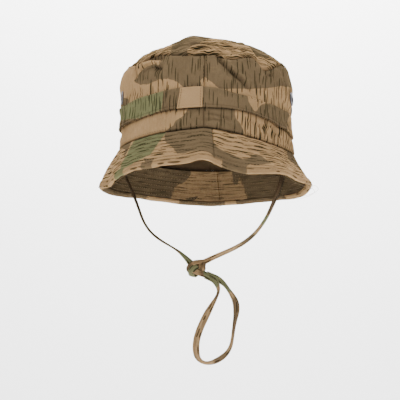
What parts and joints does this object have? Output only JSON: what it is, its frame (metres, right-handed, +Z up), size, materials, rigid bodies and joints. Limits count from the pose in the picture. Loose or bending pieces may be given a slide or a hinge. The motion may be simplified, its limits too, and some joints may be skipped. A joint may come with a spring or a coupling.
{
  "type": "bucket hat",
  "caption": "Soft camouflage bucket hat with a domed crown, foliage band, short stitched brim, screened vent eyelets and a knotted chin strap with a hanging loop.",
  "frame": {"origin": "centre of the head opening, in the plane of the seam between crown and brim", "axes": "+X to the wearer's left, +Y to the back of the head, +Z up out of the crown; the head leaves along -Z"},
  "size_m": [0.2216, 0.2644, 0.3263],
  "materials": {
    "camouflage_cloth": "matt cotton twill, printed with brown and green patches and short dark strokes on tan",
    "tan_cloth": "matt cotton twill, plain tan",
    "thread": "matt sewing thread",
    "interlining": "stiff woven interlining",
    "sweatband_cloth": "matt cotton tape",
    "seam_tape": "matt cotton tape",
    "strap_tape": "matt folded cloth tape",
    "eyelet_metal": "satin grey enamel",
    "washer_metal": "dull plated steel"
  },
  "bodies": {
    "hat": {"back_seam_tape": "seam_tape", "band_patch": "tan_cloth", "band_tacks": "thread", "brim_edge_binding": "tan_cloth", "brim_interlining": "interlining", "brim_lower_left": "camouflage_cloth", "brim_lower_right": "camouflage_cloth", "brim_upper_left": "camouflage_cloth", "brim_upper_right": "camouflage_cloth", "crown_side_left": "camouflage_cloth", "crown_side_right": "camouflage_cloth", "crown_top": "camouflage_cloth", "foliage_band": "camouflage_cloth", "front_seam_tape": "seam_tape", "strap_anchor_left": "strap_tape", "strap_anchor_right": "strap_tape", "sweatband": "sweatband_cloth", "top_seam_tape": "seam_tape", "vent_eyelet_left_front": "eyelet_metal", "vent_eyelet_left_rear": "eyelet_metal", "vent_eyelet_right_front": "eyelet_metal", "vent_eyelet_right_rear": "eyelet_metal", "vent_screen_left_front": "eyelet_metal", "vent_screen_left_rear": "eyelet_metal", "vent_screen_right_front": "eyelet_metal", "vent_screen_right_rear": "eyelet_metal", "vent_washer_left_front": "washer_metal", "vent_washer_left_rear": "washer_metal", "vent_washer_right_front": "washer_metal", "vent_washer_right_rear": "washer_metal"},
    "chin_strap": {"chin_strap_left": "strap_tape", "chin_strap_right": "strap_tape", "chin_strap_knot": "strap_tape"},
    "strap_loop": {"chin_strap_loop": "strap_tape"}
  },
  "joints": [
    {"name": "chin_strap_swing", "type": "hinge", "parent": "hat", "child": "chin_strap", "pos_m": [0, 0, -0.005], "axis": [1, 0, 0], "range_deg": [-60, 60]},
    {"name": "strap_loop_swing", "type": "hinge", "parent": "chin_strap", "child": "strap_loop", "pos_m": [-0.0072, 0, -0.1198], "axis": [1, 0, 0], "range_deg": [-60, 60]}
  ]
}
